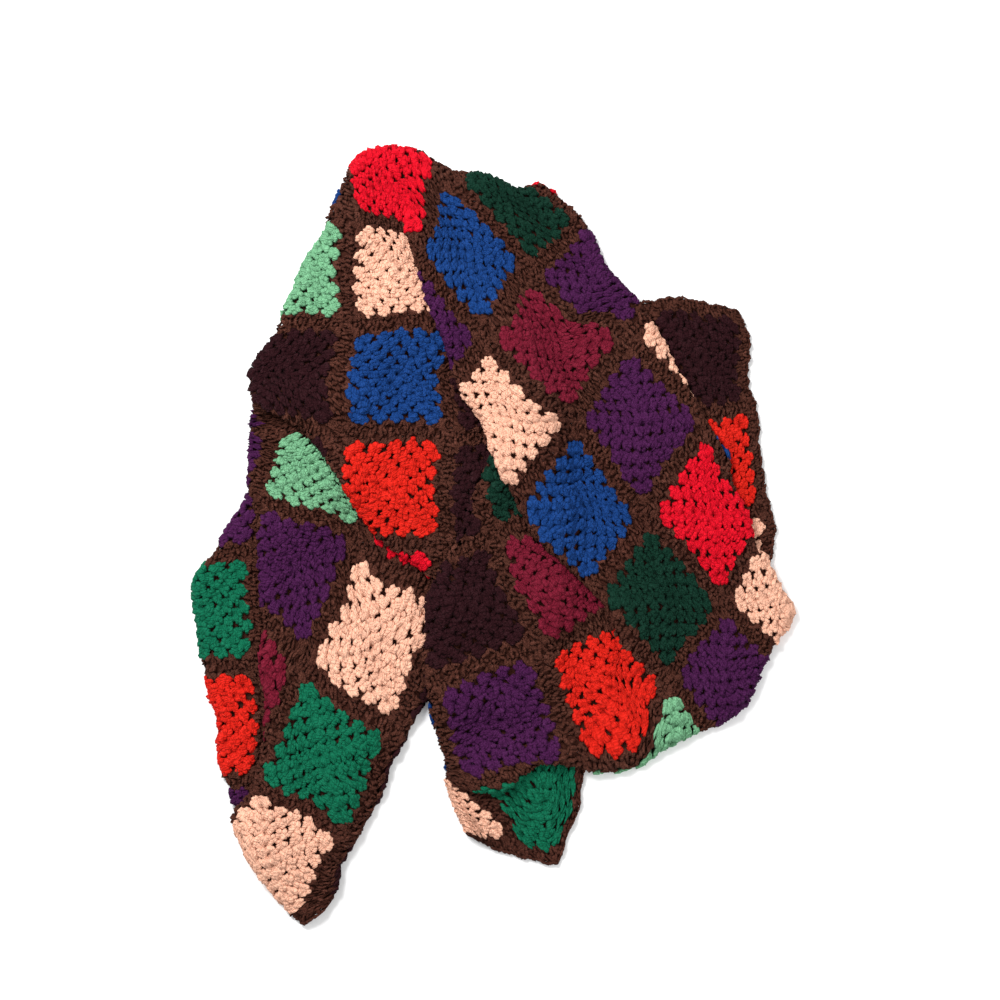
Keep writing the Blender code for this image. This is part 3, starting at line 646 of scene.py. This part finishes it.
def in_sight(points):
    """True where a point of the heap is on or near the top of the pile.

    The highest layer is mapped cell by cell, gaps closed; then its low edges are
    spread by two cells, and a point counts if it is little below that.
    """
    low = middle.reshape(-1, 3).min(axis=0)[:2] - 6 * CELL
    shape = ((middle.reshape(-1, 3).max(axis=0)[:2] - low) / CELL).astype(int) + 8
    top = np.zeros(shape)
    cells = ((middle[..., :2] - low) / CELL).astype(int)
    np.maximum.at(top, (cells[..., 0].ravel(), cells[..., 1].ravel()), middle[..., 2].ravel())
    for choose in (np.maximum, np.minimum, np.minimum, np.minimum):
        for axis in (0, 1):
            top = choose(top, choose(np.roll(top, -1, axis), np.roll(top, 1, axis)))
    cells = ((points[..., :2] - low) / CELL).astype(int)
    return points[..., 2] > top[cells[..., 0], cells[..., 1]] - SIGHT


def strands(name, path, thick, shade, sides=5):
    """One mesh of many short strands of yarn, each a closed tube along its path.

    A ring's points are the path's point plus the strand's half thickness times
    cosine across and sine over it; the end rings are narrower and closed.  The
    yarn attribute holds the length in millimetres, the turn and the lightness,
    which is painted shade low near the cloth, lighter with height, plus the
    strand's own random shade.
    """
    count, steps = path.shape[:2]
    along = np.gradient(path, axis=1)
    along /= np.linalg.norm(along, axis=2, keepdims=True)
    across = np.cross(along, (0.0, 0.0, 1.0))
    across /= np.maximum(np.linalg.norm(across, axis=2, keepdims=True), 1e-9)
    over = np.cross(across, along)
    turn = np.arange(sides) / sides * 2 * np.pi - np.pi / 2
    half = np.broadcast_to(thick, (count, steps)).copy()
    half[:, (0, -1)] *= STRAND_END
    ring = path[:, :, None] + half[..., None, None] * (
        np.cos(turn)[:, None] * across[:, :, None] + np.sin(turn)[:, None] * over[:, :, None])
    placed = on_cloth(ring)
    length = np.concatenate((np.zeros((count, 1)), np.cumsum(np.linalg.norm(
        np.diff(path, axis=1), axis=2), axis=1)), axis=1) * 1000
    height = ring[..., 2] / STITCH_HEIGHT
    # the third number is painted shade by height over the cloth, plus the strand's random shade
    yarn = np.stack(np.broadcast_arrays(
        length[:, :, None], turn / (2 * np.pi) + 0.25,
        DEEP_PAINTED_SHADE + PAINTED_SHADE_BY_HEIGHT * np.clip(height, 0, 1) + shade[:, None, None]), axis=-1)
    index = np.arange(count * steps * sides).reshape(count, steps, sides)
    turned = np.roll(index, -1, axis=2)
    quads = np.stack((index[:, :-1], index[:, 1:], turned[:, 1:], turned[:, :-1]), axis=-1)
    quads = quads.reshape(-1, 4)
    caps = np.concatenate((index[:, 0], index[:, -1, ::-1]))
    mesh = bpy.data.meshes.new(name)
    mesh.vertices.add(index.size)
    mesh.vertices.foreach_set("co", placed.ravel())
    corners = np.concatenate((quads.ravel(), caps.ravel()))
    sizes = np.concatenate((np.full(len(quads), 4), np.full(len(caps), sides)))
    mesh.loops.add(len(corners))
    mesh.loops.foreach_set("vertex_index", corners)
    mesh.polygons.add(len(sizes))
    mesh.polygons.foreach_set("loop_start", np.concatenate(((0,), np.cumsum(sizes)[:-1])))
    mesh.polygons.foreach_set("use_smooth", np.ones(len(sizes), bool))
    mesh.attributes.new("yarn", "FLOAT_VECTOR", "POINT").data.foreach_set("vector", yarn.ravel())
    mesh.update()
    mesh.validate()
    piece = bpy.data.objects.new(name, mesh)
    bpy.context.collection.objects.link(piece)
    return piece


def turned_to_sides(points):
    """Copies of a side's points for all four sides, by quarter turns about the middle."""
    x, y, z = points[..., 0], points[..., 1], points[..., 2]
    quarter = ((x, y), (-y, x), (-x, -y), (y, -x))
    return np.concatenate([np.stack((a, b, z), axis=-1) for a, b in quarter])


def tall_stitch(foot, head, lift):
    """Two strands that cross on the way from a stitch's foot to its head.

    Each is four points from foot to head, moved to one side and then to the
    other, and raised in the middle so that the stitch is plump.
    """
    step = np.array((0.0, 0.4, 0.8, 1.0))[:, None]
    run = foot[:, None] * (1 - step) + head[:, None] * step
    side = np.cross(head - foot, (0.0, 0.0, 1.0))
    side /= np.linalg.norm(side, axis=1, keepdims=True)
    run[..., 2] += lift * np.array((0.0, 1.0, 1.0, 0.3))
    weave = np.array((-0.0008, 0.0014, -0.0013, 0.0004))[:, None]
    return run + side[:, None] * weave, run - side[:, None] * weave


def head_loop(head, reach, width, height):
    """The loop that closes a stitch's head: an arc lying across it, bowed outward."""
    rise = 0.0012
    bow = np.array(((-1.0, -0.5, 0.0), (-0.4, 0.35, rise), (0.4, 0.35, rise), (1.0, -0.5, 0.0)))
    arc = bow * np.array((width, reach, 1.0))
    return head[:, None] * np.array((1.0, 1.0, 0.0)) + arc + np.array((0.0, 0.0, height))


def clusters(number, foot_side, foot_out, head_side, head_out, fan, crown):
    """Feet and heads of one side's clusters of three stitches.

    Cluster i's foot is at 2i/(n-1)-1 of the half side, its head the same on the
    outer line; its three stitches open by the fan's width, and the middle one
    reaches further out by the crown.
    """
    foot_step, foot_height, head_height = 0.0020, 0.0014, 0.0032
    spot = np.linspace(-1.0, 1.0, number) if number > 1 else np.zeros(1)
    stitch = np.array((-1.0, 0.0, 1.0))
    foot = np.stack(np.broadcast_arrays(
        spot[:, None] * foot_side + stitch * foot_step,
        foot_out + 0.0 * stitch, foot_height), axis=-1)
    head = np.stack(np.broadcast_arrays(
        spot[:, None] * head_side + stitch * fan,
        head_out - crown * np.abs(stitch), head_height), axis=-1)
    return foot.reshape(-1, 3), head.reshape(-1, 3)


def coloured_square():
    """All strands of one square's five rounds, round its own middle.

    The first round opens least; the last has narrow, rounded clusters, which
    make the square's scalloped edge.
    """
    found = []
    for number in range(1, ROUNDS + 1):
        inner, outer = (number - 1) * ROUND, number * ROUND
        lean = max(number - CLUSTER_LEAN, 0.0) * ROUND
        fan = ROUND * (0.42 if number == 1 else 0.44 if number == ROUNDS else 0.57)
        crown = 0.0026 if number == ROUNDS else 0.0016
        foot, head = clusters(
            number, inner * FOOT_INSET, max(inner - 0.0016, 0.0016), lean, outer, fan, crown)
        first, second = tall_stitch(foot, head, 0.0018)
        loops = head_loop(head, 0.0016, 0.0034, 0.0036)
        found += [turned_to_sides(part) for part in (first, second, loops)]
    return np.concatenate(found)


def middles(squares):
    """Middles of squares given as 'column,row' words, in the flat cloth's metres.

    The squares along the cloth's edges sit a little inward, for a broader border.
    """
    places = np.array([[float(n) for n in word.split(",")] for word in squares.split()])
    last = np.array((LAST_COLUMN - 0.5, LAST_ROW - 0.5))
    first = np.array((FIRST_COLUMN + 0.5, FIRST_ROW + 0.5))
    places += BORDER * ((places == first).astype(float) - (places == last))
    return np.stack((places[:, 0] * PITCH, -places[:, 1] * PITCH, 0 * places[:, 0]), axis=-1)


def uneven(points):
    """Hand tension: places in the flat cloth wander by up to two millimetres.

    Each way is a sum of two sines of the place, 13 to 15 mm long; heights swell
    and sink by up to a third in the same manner.
    """
    x, y, height = points[..., 0], points[..., 1], points[..., 2]
    wander = 0.0009
    aside = wander * (np.sin(430 * x + 210 * y + 1.0) + np.sin(-260 * x + 380 * y))
    out = wander * (np.sin(350 * y - 240 * x + 2.0) + np.sin(270 * y + 410 * x + 0.5))
    swell = 1.0 + 0.16 * (np.sin(290 * x + 330 * y) + np.sin(370 * x - 310 * y + 1.3))
    return np.stack((x + aside, y + out, height * swell), axis=-1)


def worked(pattern, squares, spread, seed, thick=STRAND):
    """A pattern of strands repeated on squares, unevenly as by hand.

    Keeps the strands that are in sight and not drawn out in a fold; returns their
    paths, half thicknesses and shades.
    """
    chance = np.random.default_rng(seed)
    path = (middles(squares)[:, None, None] + pattern).reshape(-1, *pattern.shape[1:])
    laid = on_cloth(path[:, (0, -1)])
    stretch = np.linalg.norm(laid[:, 1] - laid[:, 0], axis=1)
    stretch /= np.linalg.norm(path[:, -1] - path[:, 0], axis=1)
    path = path[in_sight(on_cloth(path.mean(axis=1))) & (stretch < STRETCH)]
    path = uneven(path + chance.normal(0.0, spread, path.shape) * np.array((1.0, 1.0, 0.6)))
    thick = thick * chance.normal(1.0, 0.10, (len(path), 1))
    return path, thick, chance.normal(0.0, 0.06, len(path))


square = coloured_square()
for seed, (yarn_name, red, green, blue, squares) in enumerate(YARNS):
    sides = 4 if yarn_name in ("plum", "forest", "purple") else 5
    piece = strands("squares_" + yarn_name, *worked(square, squares, 0.00035, seed), sides=sides)
    piece.data.materials.append(yarn_wool(yarn_name + "_wool", red, green, blue))
    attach(piece, "root")

# ---------------------------------------------------------------- the brown rounds
# Dark brown wool goes once round every coloured square in short clusters, and a row
# of slanting stitches along each side joins it to the next square.
BROWN_OUT = 0.0578     # heads of the brown clusters, from the square's middle
JOIN_OUT = 0.0612      # middle of the joining stitches, just inside the square's edge
JOINS = 24             # joining stitches on a side
BROWN_STRAND = 0.0022  # half the thickness of the brown strands


def brown_square():
    """All strands of one square's brown round and of its joining stitches.

    The joining stitches lie across the square's edge, arched, leaning one way and
    then a little the other.
    """
    half = ROUNDS * ROUND
    foot, head = clusters(
        ROUNDS + 1, half * FOOT_INSET, half - 0.0036, BROWN_OUT - 0.0060, BROWN_OUT, 0.0064, 0.0)
    first, second = tall_stitch(foot, head, 0.0014)
    spot = ((np.arange(JOINS) + 0.5) / JOINS * 2 - 1)[:, None] * PITCH / 2
    lean = np.where(np.arange(JOINS) % 2, 0.0012, -0.0006)[:, None]
    step = np.linspace(-1.0, 1.0, 4)
    slants = np.stack(np.broadcast_arrays(
        spot + lean * step, JOIN_OUT + 0.0030 * step, 0.0026 + 0.0014 * (1 - step ** 2)), axis=-1)
    return np.concatenate([turned_to_sides(part) for part in (first, second, slants)])


rim = brown_square()
bands = (("left", -3, -1), ("middle", 0, 1), ("right", 2, 3), ("far_right", 4, 5))
for seed, (band, first, last) in enumerate(bands):
    squares = " ".join(f"{c},{r}" for c in range(first, last + 1) for r in range(-2, 8))
    pattern = worked(rim, squares, 0.0011, 40 + seed, BROWN_STRAND)
    piece = strands("brown_rounds_" + band, *pattern, sides=4)
    piece.data.materials.append(brown_wool)
    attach(piece, "root")

# ---------------------------------------------------------------- the border
# Three rows of brown stitches run round the whole blanket: one along its very edge,
# and two that slant across it, one each way.
BORDER_STITCH = 0.0052   # from one stitch to the next
BORDER_STRAND = 0.0021   # half the thickness of its strands

# row, distance inside the edge, run along the edge and reach across it, each way
BORDER_ROWS = (
    ("edge", -0.0004, 0.0036, 0.0005),
    ("middle", 0.0034, 0.0009, 0.0024),
    ("inner", 0.0076, -0.0009, 0.0024),
)


def border(inward, lean, reach):
    """Stitches along the whole cloth's edge, on a line a little inside it.

    Each is four points that run by the lean along the edge and by the reach
    across it, both ways from its middle, arched in height.
    """
    low = np.array((FIRST_COLUMN * PITCH + inward, -LAST_ROW * PITCH + inward))
    high = np.array((LAST_COLUMN * PITCH - inward, -FIRST_ROW * PITCH - inward))
    ways = np.linspace(-1, 1, 4)
    found = []
    for axis in (0, 1):
        spot = np.arange(low[axis], high[axis], BORDER_STITCH)[:, None] + lean * ways
        for side, out in ((low, -1.0), (high, 1.0)):
            across = np.broadcast_to(side[1 - axis] + out * reach * ways, spot.shape)
            pair = (spot, across) if axis == 0 else (across, spot)
            height = np.broadcast_to((0.0010, 0.0032, 0.0032, 0.0010), spot.shape)
            found.append(np.stack((*pair, height), axis=-1))
    return np.concatenate(found)


edge = np.concatenate([border(*sizes) for name, *sizes in BORDER_ROWS])
piece = strands("brown_border", *worked(edge, "0,0", 0.0006, 50, BORDER_STRAND), sides=4)
piece.data.materials.append(brown_wool)
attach(piece, "root")

# ---------------------------------------------------------------- the floor, the light and the camera
# A plain pale floor, two broad soft lights and an even sky; the camera looks straight
# down on the heap.
CAMERA_HEIGHT = 3.0
CLOTH_HEIGHT = 0.04    # height at which the view's width is taken
VIEW_WIDTH = 1.134     # width of the view at that height
SENSOR = 36.0          # width of the camera's sensor, in millimetres

floor_mesh = bpy.data.meshes.new("floor")
floor_mesh.from_pydata([(-6, -6, 0), (6, -6, 0), (6, 6, 0), (-6, 6, 0)], [], [(0, 1, 2, 3)])
floor = bpy.data.objects.new("floor", floor_mesh)
bpy.context.collection.objects.link(floor)
pale = bpy.data.materials.new("pale_floor")
pale.use_nodes = True
pale.node_tree.nodes["Principled BSDF"].inputs["Base Color"].default_value = (0.9, 0.9, 0.9, 1.0)
pale.node_tree.nodes["Principled BSDF"].inputs["Roughness"].default_value = 0.8
floor_mesh.materials.append(pale)


def soft_light(name, place, size, power):
    """A square light that faces the heap."""
    lamp = bpy.data.lights.new(name, "AREA")
    lamp.size = size
    lamp.energy = power
    light = bpy.data.objects.new(name, lamp)
    light.location = place
    light.rotation_euler = Vector(place).to_track_quat("Z", "Y").to_euler()
    bpy.context.collection.objects.link(light)


soft_light("key", (-1.2, 1.6, 2.2), 1.0, 105.0)
soft_light("fill", (1.8, -0.6, 2.2), 1.8, 26.0)
sky = bpy.data.worlds.new("sky")
sky.use_nodes = True
sky.node_tree.nodes["Background"].inputs["Color"].default_value = (1.0, 1.0, 1.0, 1.0)
sky.node_tree.nodes["Background"].inputs["Strength"].default_value = 0.68
bpy.context.scene.world = sky
bpy.context.scene.view_settings.view_transform = "Standard"

camera_data = bpy.data.cameras.new("camera")
camera_data.sensor_width = SENSOR
camera_data.lens = SENSOR * (CAMERA_HEIGHT - CLOTH_HEIGHT) / VIEW_WIDTH
camera = bpy.data.objects.new("camera", camera_data)
camera.location = (0.0096, 0.0406, CAMERA_HEIGHT)
bpy.context.collection.objects.link(camera)
bpy.context.scene.camera = camera
